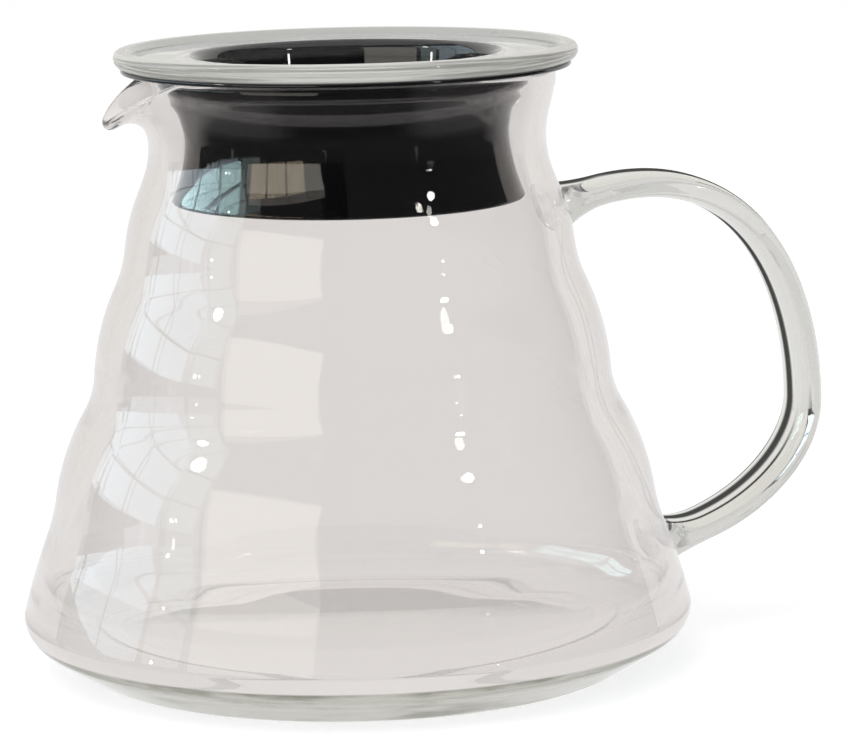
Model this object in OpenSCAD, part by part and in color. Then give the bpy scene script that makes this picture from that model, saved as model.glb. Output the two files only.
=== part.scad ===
// Glass coffee server: a blown, waved jug with a drawn spout and a welded strap
// handle, closed by a pressed glass lid that stands in a black flanged sleeve.
// Millimetres. The origin is the middle of the foot ring on the table, +Z is up,
// the handle points to +X and the spout to -X.

/* [Jug] */
// Outer radius of the widest ring, low on the jug
bowl_r = 65; // [58:0.5:72]
// Height of the widest ring above the table
bowl_z = 11; // [9:0.5:14]
// Thickness of the blown wall
wall = 2.2; // [1.6:0.1:2.8]
// Outer radius of the foot ring
foot_r = 52.6; // [46:0.2:56]
// Width of the flat ring that stands on the table
foot_w = 5.2; // [3:0.2:8]
// Rise of the underside from the foot ring to the middle
punt_h = 1.4; // [0.6:0.1:2.4]
// Height of the inner floor above the table
floor_z = 4.6; // [3.6:0.1:7]
// Outer radius of the turn from the foot to the wall
heel_r = 6; // [4:0.5:8]
// Inner radius of the turn from the floor to the wall
inner_heel_r = 10; // [7:0.5:14]

/* [Waves] */
// Swell of the two full waves beyond a straight wall
wave_swell = 1.7; // [0.6:0.1:2.6]
// Swell of the low flank under the first groove
flank_swell = 0.4; // [0.1:0.1:1.2]
// Swell of the shoulder under the neck
shoulder_swell = 0.7; // [0.2:0.1:1.4]
// Length of wall over which each groove is rounded
groove_soft = 5.4; // [3:0.3:8]

/* [Neck] */
// Outer radius of the lip at the mouth
rim_r = 40.2; // [37:0.2:44]
// Height of the rim above the table
rim_z = 115.6; // [104:0.2:126]
// Height of the upright lip under the rim
lip_h = 4.4; // [2:0.2:6]
// How far the neck is drawn in between shoulder and lip
waist_draw = 2.4; // [1:0.1:3]

/* [Spout] */
// How far the lip is drawn out at the tip of the spout
spout_reach = 5.6; // [3:0.2:9]
// How far the tip lies below the rim
spout_drop = 8.6; // [4:0.2:10]
// Height of neck that is drawn out into the spout
spout_h = 18.8; // [14:0.2:24]
// Angle of neck on each side that is drawn out
spout_half_angle = 28; // [20:1:34]

/* [Handle] */
// Radius of the outermost point of the handle's middle line
grip_r = 91.9; // [84:0.1:100]
// Height of that point above the table
grip_z = 46.6; // [42:0.1:54]
// Height of the upper root's middle
upper_root_z = 87.2; // [82:0.2:92]
// Height of the lower root's middle
lower_root_z = 19.7; // [17:0.1:25]
// Width of the strap
strap_w = 14; // [8:0.5:16]
// Thickness of the strap
strap_t = 5.3; // [4:0.1:7]
// Width of the strap where it is melted on to the wall
weld_w = 16; // [12:0.5:20]
// Thickness of the strap where it is melted on to the wall
weld_t = 9; // [6:0.2:11]
// Length of strap that thickens towards the wall
weld_l = 7; // [4:0.5:10]

/* [Lid glass] */
// How far the disc reaches out beyond the jug's lip
disc_over = 4.3; // [3.6:0.1:7]
// Thickness of the disc at its raised edge
disc_t = 3.5; // [3:0.1:5]
// Step from the raised edge down to the flat ring
edge_step = 1.3; // [0.4:0.1:1.6]
// Width of the raised edge
edge_w = 2.6; // [1.8:0.1:4]
// Clearance between the well and the waist of the sleeve round it
well_gap = 0.9; // [0.6:0.1:2]
// How much narrower the well is at its floor
well_taper = 2.6; // [2:0.1:5]
// Depth of the well's floor under the disc
well_depth = 19.9; // [14:0.1:21.5]
// Thickness of the well's glass
well_wall = 2.2; // [1.8:0.1:2.4]

/* [Lid sleeve] */
// Thickness of the sleeve's black sheet
sleeve_t = 0.9; // [0.7:0.1:1.4]
// How far the flange stops short of the disc's edge
flange_in = 1.3; // [0.8:0.1:2.2]
// Clearance between the collar and the inside of the lip
collar_gap = 1.6; // [1.4:0.1:2.4]
// Height of the upright collar that fills the mouth inside the lip
collar_h = 3; // [2:0.1:4.5]
// How far the sleeve is drawn in from its collar to its waist
waist_in = 5.5; // [4.8:0.1:6.2]
// Depth of the waist under the rim
sleeve_waist_d = 10.4; // [8:0.2:12]
// How far the sheet is drawn in between its waist and its collar
flare_draw = 1.2; // [0.6:0.1:2]
// How far the skirt is drawn in between its edge and the waist
skirt_draw = 0.7; // [0.3:0.1:1.2]
// Clearance between the sleeve's lower edge and the neck
skirt_gap = 1.7; // [1.2:0.1:3]
// Depth of the sleeve's lower edge under the rim
skirt_d = 25.2; // [22:0.2:27]

/* [Hidden] */

// Clearance between the flange and the rim that it rests over
seat_gap = 0.1;
// How far the spout's sheet is let into the wall at its sides
lap = 0.06;
// Overrun of cuts
over = 3;
// Length of one step along a drawn profile
step = 1.8;
// Steps in one rounded corner, in the spout each way and in the strap
round_steps = 6;
spout_side_steps = 12;
spout_rise_steps = 10;
strap_steps = 18;
strap_sides = 24;
$fn = 96;

// Places of the three grooves and the shoulder: shares of the way from the widest ring
// to the neck's foot, in height, and to the lip's radius, inwards
groove_height_shares = [0.19, 0.424, 0.669, 0.813];
groove_inset_shares = [0.256, 0.595, 0.857, 0.98];
// Pull of each end of the handle's two curves, as shares of its reach and of its drops
upper_pull_share = 0.786;
crown_pull_share = 0.608;
grip_pull_share = 0.424;
lower_pull_share = 0.584;
// Slopes of the handle where it leaves the wall
upper_slope = 20.3;
lower_slope = 8.8;
// Powers that shape the spout: how late it turns out, and how pointed it is
spout_curl = 3.6;
spout_point = 2;
// Power that squares the strap's oval
strap_square = 0.7;
// Length of the sleeve's sheet over which its bends are rounded
sleeve_soft = 3.6;

// Corner radii of the lid's glass, as shares of its thickness, its step and its well's depth
edge_top_share = 0.38;
edge_low_share = 0.58;
step_round_share = 0.6;
floor_round_share = 0.25;

lip_z = rim_z - lip_h;
flange_z = rim_z + seat_gap;
disc_z = flange_z + sleeve_t;
wave_rise = lip_z - bowl_z;
wave_inset = bowl_r - rim_r;

// Radii of the lid, from the lip that it closes inwards
disc_r = rim_r + disc_over;
flange_r = disc_r - flange_in;
collar_r = rim_r - wall - collar_gap;
sleeve_waist_r = collar_r - waist_in;
skirt_r = rim_r - wall - waist_draw - skirt_gap;
sleeve_waist_z = rim_z - sleeve_waist_d;

// Vectors and profiles

function unit(v) = v / norm(v);
function mean(points) = [for (p = points) 1] * points / len(points);
function back(list) = [for (i = [len(list) - 1:-1:0]) list[i]];

// Points of the arc from a to b that stands out by swell to the right of its way, b left out
function arc(a, b, swell) =
    let (chord = norm(b - a), along = (b - a) / chord, out = [along[1], -along[0]],
         radius = (chord * chord / 4 + swell * swell) / (2 * swell),
         half = 2 * atan(2 * swell / chord), count = ceil(chord / step))
    [for (i = [0:count - 1])
        let (turn = half * (2 * i / count - 1))
        (a + b) / 2 + along * radius * sin(turn) + out * radius * (cos(turn) - cos(half))];

// Points of the straight run from a to b, b left out
function straight(a, b) =
    let (count = ceil(norm(b - a) / step)) [for (i = [0:count - 1]) a + (b - a) * i / count];

// Each point becomes the mean of its neighbours within a length of line
function soften(line, reach) =
    let (most = round(reach / step / 2), last = len(line) - 1)
    [for (i = [0:last]) let (k = min(most, i, last - i)) mean([for (j = [i - k:i + k]) line[j]])];

// Unit normals to the right of a line's way
function normals(line) =
    let (last = len(line) - 1)
    [for (i = [0:last])
        let (way = unit(line[min(i + 1, last)] - line[max(i - 1, 0)])) [way[1], -way[0]]];

// A sheet of one thickness to the left of a line, both its edges rounded
function half_round(edge, normal, ahead, t) =
    [for (i = [1:round_steps - 1])
        let (turn = 180 * i / round_steps) edge + (normal * (cos(turn) - 1) + ahead * sin(turn)) * t / 2];
function sheet(line, t) =
    let (side = normals(line), last = len(line) - 1)
    concat(line, half_round(line[last], side[last], [-side[last][1], side[last][0]], t),
           back([for (i = [0:last]) line[i] - side[i] * t]),
           half_round(line[0] - side[0] * t, -side[0], [side[0][1], -side[0][0]], t));

// A run of corners [r, z, radius], each turned into a tangent arc
function round_corner(before, corner, after) =
    let (p = [corner[0], corner[1]], radius = corner[2],
         u = unit([before[0], before[1]] - p), v = unit([after[0], after[1]] - p),
         half = acos(u * v) / 2, centre = p + unit(u + v) * radius / sin(half),
         from = unit(p + u * radius / tan(half) - centre), to = unit(p + v * radius / tan(half) - centre),
         sweep = 180 - 2 * half)
    [for (i = [0:round_steps])
        let (turn = sweep * i / round_steps)
        centre + (from * sin(sweep - turn) + to * sin(turn)) * radius / sin(sweep)];
function rounded(corners) =
    let (last = len(corners) - 1)
    [for (i = [0:last])
        each corners[i][2] == 0 ? [[corners[i][0], corners[i][1]]]
            : round_corner(corners[max(i - 1, 0)], corners[i], corners[min(i + 1, last)])];

// The jug's outer line, from the foot ring up to the lip

function groove(i) =
    [bowl_r - wave_inset * groove_inset_shares[i], bowl_z + wave_rise * groove_height_shares[i]];

heel_c = [bowl_r - heel_r, bowl_z];
heel_span = heel_c - [foot_r, 0];
heel_lift = atan2(heel_span[1], heel_span[0]) - asin(heel_r / norm(heel_span));
heel_arc = [for (i = [0:round_steps - 1])
    let (turn = (heel_lift - 90) * (1 - i / round_steps)) heel_c + [cos(turn), sin(turn)] * heel_r];
widest = [bowl_r, bowl_z];
lip = [rim_r, lip_z];
rim_edge = [rim_r, rim_z - wall / 2];
wave_line = soften(concat(
    arc(widest, groove(0), flank_swell), arc(groove(0), groove(1), wave_swell),
    arc(groove(1), groove(2), wave_swell), arc(groove(2), groove(3), shoulder_swell),
    arc(groove(3), lip, -waist_draw), straight(lip, rim_edge), [rim_edge]), groove_soft);
outer_line = concat([[foot_r, 0]], heel_arc, wave_line);

// The inner line, a wall's thickness inside the waves, then round to the floor

lean = atan((bowl_r - groove(0)[0]) / (groove(0)[1] - bowl_z));
heel_top = bowl_r - wall / cos(lean);
inner_c = [heel_top - (floor_z + inner_heel_r - bowl_z) * tan(lean) - inner_heel_r / cos(lean),
           floor_z + inner_heel_r];
inner_heel = [for (i = [0:2 * round_steps])
    let (turn = -90 + (90 + lean) * i / (2 * round_steps)) inner_c + [cos(turn), sin(turn)] * inner_heel_r];
wave_side = normals(wave_line);
wave_last = len(wave_line) - 1;
inner_top = inner_heel[len(inner_heel) - 1][1] + step / 2;
inner_wave = [for (i = [0:wave_last]) let (p = wave_line[i] - wave_side[i] * wall) if (p[1] > inner_top) p];
inner_line = soften(concat(inner_heel, inner_wave), step * 4);

punt_in = foot_r - foot_w;
punt_rad = (punt_in * punt_in + punt_h * punt_h) / (2 * punt_h);
punt_line = [for (i = [0:round_steps])
    let (r = punt_in * i / round_steps) [r, punt_h - punt_rad + sqrt(punt_rad * punt_rad - r * r)]];

function jug_radius(z) = lookup(z, [for (p = wave_line) [p[1], p[0]]]);

module jug_turning() {
    rotate_extrude()
        polygon(concat(punt_line, outer_line,
            half_round(rim_edge, wave_side[wave_last],
                       [-wave_side[wave_last][1], wave_side[wave_last][0]], wall),
            back(inner_line), [[0, floor_z]]));
}

// The jug's outside as one solid block, which trims what is melted on to it
module jug_block() {
    rotate_extrude() polygon(concat([[0, 0]], outer_line, [[0, rim_edge[1]]]));
}

// The spout: the neck's own sheet, drawn out and down about the -X side

function spout_bell(turn) = pow(cos(90 * turn / spout_half_angle), spout_point);
function spout_at(turn, rise) =
    let (z = rim_edge[1] + spout_h * (rise - 1), pull = spout_bell(turn) * pow(max(0, rise), spout_curl),
         r = jug_radius(z) + spout_reach * pull)
    [-r * cos(turn), -r * sin(turn), z - spout_drop * pull];
spout_nudge = 0.01;
function spout_up(turn, rise) = unit(spout_at(turn, rise) - spout_at(turn, rise - spout_nudge));
function spout_across(turn, rise) =
    unit(spout_at(turn + spout_half_angle * spout_nudge, rise)
        - spout_at(turn - spout_half_angle * spout_nudge, rise));
function spout_out(turn, rise) = unit(cross(spout_across(turn, rise), spout_up(turn, rise)));

// One closed ring round the sheet: up its outside, over the lip and down its inside
function spout_ring(turn) =
    let (rises = [for (i = [0:spout_rise_steps]) i / spout_rise_steps],
         out = spout_out(turn, 1), up = spout_up(turn, 1), middle = spout_at(turn, 1) - out * wall / 2)
    concat([for (t = rises) spout_at(turn, t) - spout_out(turn, t) * lap],
           [for (i = [1:round_steps - 1])
               let (a = 180 * i / round_steps) middle + (out * cos(a) + up * sin(a)) * (wall / 2 - lap)],
           back([for (t = rises) spout_at(turn, t) - spout_out(turn, t) * (wall - lap)]));

// A solid through a row of closed rings. Strips from one side of an end ring to the other close it
function strip_faces(sides) =
    [for (i = [0:ceil(sides / 2) - 2])
        let (far = sides - 1 - i) i + 1 == far - 1 ? [i, i + 1, far] : [i, i + 1, far - 1, far]];
module ring_loft(rings) {
    sides = len(rings[0]);
    last = len(rings) - 1;
    polyhedron([for (ring = rings) each ring], concat(
        [for (k = [0:last - 1], i = [0:sides - 1])
            let (a = k * sides + i, b = k * sides + (i + 1) % sides)
            each [[a, b, b + sides], [a, b + sides, a + sides]]],
        [for (face = strip_faces(sides)) back(face)],
        [for (face = strip_faces(sides)) [for (i = face) last * sides + i]]));
}

module spout_sheet() {
    ring_loft([for (i = [-spout_side_steps:spout_side_steps])
        spout_ring(spout_half_angle * i / spout_side_steps)]);
}

// The wedge of neck that the spout's sheet takes the place of, a step narrower than the sheet
module spout_gap() {
    side = spout_half_angle * (1 - 1 / spout_side_steps);
    low = rim_edge[1] - spout_h * (1 - 1 / spout_rise_steps);
    translate([0, 0, low])
        rotate(180 - side)
            rotate_extrude(angle = 2 * side)
                translate([rim_r / 2, 0])
                    square([rim_r, rim_z - low + over]);
}

module server_body() {
    color([0.86, 0.86, 0.84, 0.4])
        union() {
            difference() {
                jug_turning();
                spout_gap();
            }
            spout_sheet();
        }
}

// The handle: a flattened rod along two curves, thickened where it is melted on

function bezier(p, t) =
    p[0] * pow(1 - t, 3) + p[1] * 3 * t * pow(1 - t, 2) + p[2] * 3 * t * t * (1 - t) + p[3] * pow(t, 3);

upper_root = [jug_radius(upper_root_z) - wall / 2, upper_root_z];
lower_root = [jug_radius(lower_root_z) - wall / 2, lower_root_z];
grip = [grip_r, grip_z];
upper_curve = [upper_root,
    upper_root + [cos(upper_slope), sin(upper_slope)] * upper_pull_share * (grip_r - upper_root[0]),
    grip + [0, crown_pull_share * (upper_root_z - grip_z)], grip];
lower_curve = [grip, grip - [0, grip_pull_share * (grip_z - lower_root_z)],
    lower_root + [cos(lower_slope), sin(lower_slope)] * lower_pull_share * (grip_r - lower_root[0]),
    lower_root];
strap_line = concat([for (i = [0:strap_steps - 1]) bezier(upper_curve, i / strap_steps)],
                    [for (i = [0:strap_steps]) bezier(lower_curve, i / strap_steps)]);

function melt(i) =
    let (near = min(norm(strap_line[i] - upper_root), norm(strap_line[i] - lower_root)))
    pow(max(0, 1 - near / (weld_l + wall)), 2);
function oval(turn, power) = sign(turn) * pow(abs(turn), power);
function strap_ring(i) =
    let (last = len(strap_line) - 1,
         way = unit(strap_line[min(i + 1, last)] - strap_line[max(i - 1, 0)]),
         w = (strap_w + (weld_w - strap_w) * melt(i)) / 2, t = (strap_t + (weld_t - strap_t) * melt(i)) / 2)
    [for (k = [0:strap_sides - 1])
        let (a = 360 * (k + 0.5) / strap_sides, out = t * oval(cos(a), strap_square))
        [strap_line[i][0] - way[1] * out, w * oval(sin(a), strap_square), strap_line[i][1] + way[0] * out]];

module handle() {
    color([0.84, 0.84, 0.82, 0.4])
        difference() {
            ring_loft([for (i = [0:len(strap_line) - 1]) strap_ring(i)]);
            jug_block();
        }
}

// The lid's glass: a disc with a raised edge, and a well that hangs from its middle

well_floor = disc_z - well_depth;
ring_top = disc_z + disc_t - edge_step;
well_slope = well_taper / (ring_top - well_floor);
well_r = sleeve_waist_r - sleeve_t - well_gap - well_wall + (ring_top - sleeve_waist_z) * well_slope;
edge_top_round = disc_t * edge_top_share;
edge_low_round = disc_t * edge_low_share;
step_round = edge_step * step_round_share;
mouth_round = well_wall;
floor_round = well_depth * floor_round_share;
function well_in(z) = well_r - (ring_top - z) * well_slope;

module lid_glass() {
    top = disc_z + disc_t;
    base = well_floor - well_wall;
    color([0.84, 0.85, 0.83, 0.4])
        rotate_extrude()
            polygon(rounded([
                [0, well_floor, 0],
                [well_in(well_floor), well_floor, floor_round],
                [well_r, ring_top, mouth_round],
                [disc_r - edge_w - edge_step, ring_top, step_round],
                [disc_r - edge_w, top, step_round],
                [disc_r, top, edge_top_round],
                [disc_r, disc_z, edge_low_round],
                [well_in(disc_z) + well_wall, disc_z, mouth_round],
                [well_in(base) + well_wall, base, floor_round + well_wall / 2],
                [0, base, 0]]));
}

// The lid's sleeve: one sheet from its flange down the collar, in to a waist and out to its skirt

module lid_sleeve() {
    skirt = [skirt_r, rim_z - skirt_d + sleeve_t / 2];
    waist = [sleeve_waist_r, sleeve_waist_z];
    collar = [collar_r, rim_z - collar_h];
    turn_out = [collar_r, flange_z];
    flange_edge = [flange_r - sleeve_t / 2, flange_z];
    color([0.07, 0.07, 0.08])
        rotate_extrude()
            polygon(sheet(soften(concat(
                arc(skirt, waist, -skirt_draw), arc(waist, collar, -flare_draw),
                straight(collar, turn_out), straight(turn_out, flange_edge), [flange_edge]),
                sleeve_soft), sleeve_t));
}

server_body();
handle();
lid_glass();
lid_sleeve();
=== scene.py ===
"""Looks of the glass coffee server: every CAD node is replaced by a smooth closed form with its real finish.

All sizes are in millimetres in the frame of the CAD part (+Z up, handle to +X, spout to -X) and become
metres only when a mesh is made.
"""
import logging
import math
from collections.abc import Callable
from dataclasses import dataclass, field
from enum import Enum

import bpy
import numpy as np
from mathutils import Matrix, Vector


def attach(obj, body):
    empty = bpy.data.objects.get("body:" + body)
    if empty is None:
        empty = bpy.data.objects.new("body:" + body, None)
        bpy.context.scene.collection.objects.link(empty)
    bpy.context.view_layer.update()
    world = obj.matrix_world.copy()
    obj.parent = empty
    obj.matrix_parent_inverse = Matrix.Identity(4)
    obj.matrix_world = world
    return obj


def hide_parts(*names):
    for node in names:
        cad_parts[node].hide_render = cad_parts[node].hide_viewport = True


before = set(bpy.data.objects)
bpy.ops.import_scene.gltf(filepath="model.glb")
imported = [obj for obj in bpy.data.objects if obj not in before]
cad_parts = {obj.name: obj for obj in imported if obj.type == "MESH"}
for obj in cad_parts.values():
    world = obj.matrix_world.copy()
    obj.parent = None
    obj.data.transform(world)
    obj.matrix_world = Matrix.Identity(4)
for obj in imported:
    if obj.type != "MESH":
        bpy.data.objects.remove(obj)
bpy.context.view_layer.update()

MM = 0.001
POLE_R = 2.0  # Radius of the ring of points next to a pole, in mm
MANY = 99  # More reflections or refractions than any path has
Array = np.ndarray
Object, Node, Socket = bpy.types.Object, bpy.types.Node, bpy.types.NodeSocket
Value = Socket | float | tuple[float, ...]
Pair = tuple[float, float]
Colour = Place = tuple[float, float, float]
Four = tuple[float, float, float, float]
WHITE: Colour = (1.0, 1.0, 1.0)
log = logging.getLogger("coffee_server")


# Profiles: lines of [radius, height] in the plane of the jug's axis


def unit(vectors: Array) -> Array:
    """Each vector divided by its length."""
    return vectors / np.linalg.norm(vectors, axis=-1, keepdims=True)


def circle(turn: Array) -> Array:
    """Points of the unit circle at some angles, one row each."""
    return np.stack([np.cos(turn), np.sin(turn)], axis=1)


def arc(start: Array, end: Array, swell: float, step: float) -> Array:
    """Evenly spaced points of a circle's arc, or of a straight run, without the last one.

    The arc stands out by swell to the right of its way, so its radius is (chord^2 / 4 + swell^2) / (2 swell).

    Args:
        start: First point.
        end: Point that the arc runs up to.
        swell: Height of the arc over its chord; below zero it lies to the left, and zero is straight.
        step: Longest distance between two points.

    Returns:
        One row for each point.
    """
    chord = np.linalg.norm(end - start)
    count = math.ceil(chord / step)
    share = np.arange(count) / count
    if swell == 0:
        return start + np.outer(share, end - start)
    along = (end - start) / chord
    out = np.array([along[1], -along[0]])
    radius = (chord**2 / 4 + swell**2) / (2 * swell)
    half = 2 * math.atan(2 * swell / chord)
    turn = half * (2 * share - 1)
    rise = radius * (np.cos(turn) - math.cos(half))
    return (start + end) / 2 + np.outer(radius * np.sin(turn), along) + np.outer(rise, out)


def arcs(stops: list[Array], swells: tuple[float, ...], step: float) -> Array:
    """Points of a run of arcs, one from each stop to the next, with the last stop."""
    runs = [arc(start, end, swell, step) for start, end, swell in zip(stops, stops[1:], swells)]
    return np.vstack([*runs, stops[-1][None]])


def soften(line: Array, reach: float, step: float) -> Array:
    """Rounds the bends of a line: each point becomes the mean of the points within half of reach.

    Args:
        line: Points, about step apart.
        reach: Length of line that each mean takes in.
        step: Distance between two points.

    Returns:
        The rounded line, with its two end points where they were.
    """
    index = np.arange(len(line))
    span = np.minimum(round(reach / step / 2), np.minimum(index, index[::-1]))
    total = np.vstack([np.zeros(line.shape[1]), np.cumsum(line, axis=0)])
    return (total[index + span + 1] - total[index - span]) / (2 * span + 1)[:, None]


def even(line: Array, gap: float) -> Array:
    """The same line with its points an even gap apart, found by linear interpolation over its length.

    Args:
        line: Points in two or three dimensions.
        gap: Wanted distance between points.

    Returns:
        The resampled line, with both end points kept.
    """
    run = np.concatenate([[0.0], np.cumsum(np.linalg.norm(np.diff(line, axis=0), axis=1))])
    at = np.linspace(0.0, run[-1], max(2, round(run[-1] / gap) + 1))
    return np.stack([np.interp(at, run, line[:, k]) for k in range(line.shape[1])], axis=1)


def side_normals(line: Array) -> Array:
    """Unit normals to the right of a line's way: the way from neighbour to neighbour, turned by a quarter.

    Args:
        line: Points [radius, height].

    Returns:
        One unit vector for each point.
    """
    way = unit(np.gradient(line, axis=0))
    return np.stack([way[:, 1], -way[:, 0]], axis=1)


def corner(before: Array, point: Array, after: Array, radius: float, steps: int) -> Array:
    """A corner turned into the arc of one radius that touches both of its sides.

    Args:
        before: Point that the line comes from.
        point: The corner.
        after: Point that the line goes to.
        radius: Radius of the arc; zero keeps the corner.
        steps: Number of steps in the arc.

    Returns:
        The arc's points, or the corner alone.
    """
    point = np.asarray(point, float)
    if radius == 0:
        return point[None]
    back, on = unit(np.asarray(before) - point), unit(np.asarray(after) - point)
    half = math.acos(float(back @ on)) / 2
    centre = point + unit(back + on) * radius / math.sin(half)
    first = point + back * radius / math.tan(half) - centre
    final = point + on * radius / math.tan(half) - centre
    sweep = math.pi - 2 * half
    turn = sweep * np.arange(steps + 1) / steps
    spread = np.outer(np.sin(sweep - turn), first) + np.outer(np.sin(turn), final)
    return centre + spread / math.sin(sweep)


def rounded(corners: list[tuple[float, float, float]], steps: int) -> Array:
    """A run of corners [radius, height, rounding], each turned into its touching arc.

    Args:
        corners: The corners in order.
        steps: Number of steps in each arc.

    Returns:
        The line through all arcs.
    """
    points = [np.array(c[:2]) for c in corners]
    last = len(corners) - 1
    return np.vstack([
        corner(points[max(i - 1, 0)], points[i], points[min(i + 1, last)], corners[i][2], steps)
        for i in range(last + 1)
    ])


def filled(line: Array, longest: float) -> Array:
    """The same line with points set into its long runs, evenly, so smooth shading keeps them flat.

    Args:
        line: Points [radius, height].
        longest: Longest distance that is left between two points.

    Returns:
        The line with all of its own points and the new ones.
    """
    length = np.linalg.norm(np.diff(line, axis=0), axis=1)
    parts = np.maximum(np.ceil(length / longest).astype(int), 1)
    first = np.repeat(np.arange(len(parts)), parts)
    share = (np.arange(len(first)) - np.repeat(np.cumsum(parts) - parts, parts)) / np.repeat(parts, parts)
    return np.vstack([line[first] + (line[first + 1] - line[first]) * share[:, None], line[-1:]])


def half_round(edge: Array, normal: Array, ahead: Array, thickness: float, steps: int) -> Array:
    """Half circles over the edge of a sheet: edge + (normal (cos a - 1) + ahead sin a) thickness / 2.

    Args:
        edge: Outer edge points, one or many.
        normal: Unit normals of the outer face at the edge.
        ahead: Unit vectors along the sheet, past its edge.
        thickness: Thickness of the sheet.
        steps: Number of steps in the half circle.

    Returns:
        Rows between the outer and the inner edge, both left out.
    """
    turn = np.pi * np.arange(1, steps) / steps
    turn = turn.reshape((-1,) + (1,) * np.ndim(edge))
    return edge + (normal * (np.cos(turn) - 1) + ahead * np.sin(turn)) * thickness / 2


# Meshes: grids of points, rows of one closed ring each


def turned(line: Array, sectors: int) -> Array:
    """Turns a profile about the upright axis: (r cos a, r sin a, z).

    Args:
        line: Points [radius, height].
        sectors: Number of steps round.

    Returns:
        Grid of points, rows by sectors by 3.
    """
    flat = line[:, None, 0, None] * circle(2 * np.pi * np.arange(sectors) / sectors)[None]
    height = np.repeat(line[:, None, 1:2], sectors, axis=1)
    return np.concatenate([flat, height], axis=2)


def grid_normals(grid: Array) -> Array:
    """Unit normals of a grid of rings: the way round crossed with the way from row to row.

    Args:
        grid: Points, rows by sectors by 3.

    Returns:
        Unit vectors of the same shape.
    """
    across = np.roll(grid, -1, axis=1) - np.roll(grid, 1, axis=1)
    return unit(np.cross(across, np.gradient(grid, axis=0)))


def mesh_object(name: str, verts: Array, faces: list[list[int]]) -> Object:
    """Makes an object at the origin and links it to the scene.

    Args:
        name: Name of the object and of its mesh.
        verts: Points in metres, one row each.
        faces: Numbers of each face's points.

    Returns:
        The new object.
    """
    mesh = bpy.data.meshes.new(name)
    mesh.from_pydata(verts.tolist(), [], faces)
    made = bpy.data.objects.new(name, mesh)
    bpy.context.scene.collection.objects.link(made)
    return made


def grid_object(name: str, grid: Array, poles: tuple[Array, Array] | None = None) -> Object:
    """Makes one closed smooth mesh from a grid of rings, faces outwards.

    Args:
        name: Name of the piece.
        grid: Points in mm, rows by sectors by 3.
        poles: Points in which the end rings close; without them the last row joins the first.

    Returns:
        The new object, at the origin.
    """
    rows, sectors = grid.shape[:2]
    verts = grid.reshape(-1, 3)
    row = np.arange(rows - 1 if poles else rows)[:, None] * sectors
    col = np.arange(sectors)[None]
    on = (col + 1) % sectors
    up = (row + sectors) % (rows * sectors)
    quads = np.stack([row + col, row + on, up + on, up + col], axis=2).reshape(-1, 4)
    faces = quads.tolist()
    if poles:
        first, final = len(verts), len(verts) + 1
        verts = np.vstack([verts, poles[0], poles[1]])
        ring = np.arange(sectors)
        ahead = (ring + 1) % sectors
        top = (rows - 1) * sectors
        faces += np.stack([ahead, ring, np.full(sectors, first)], axis=1).tolist()
        faces += np.stack([ring + top, ahead + top, np.full(sectors, final)], axis=1).tolist()
    piece = mesh_object(name, verts * MM, faces)
    piece.data.validate()
    piece.data.polygons.foreach_set("use_smooth", np.ones(len(piece.data.polygons), bool))
    piece.data.update()
    return piece


# Finishes


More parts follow.
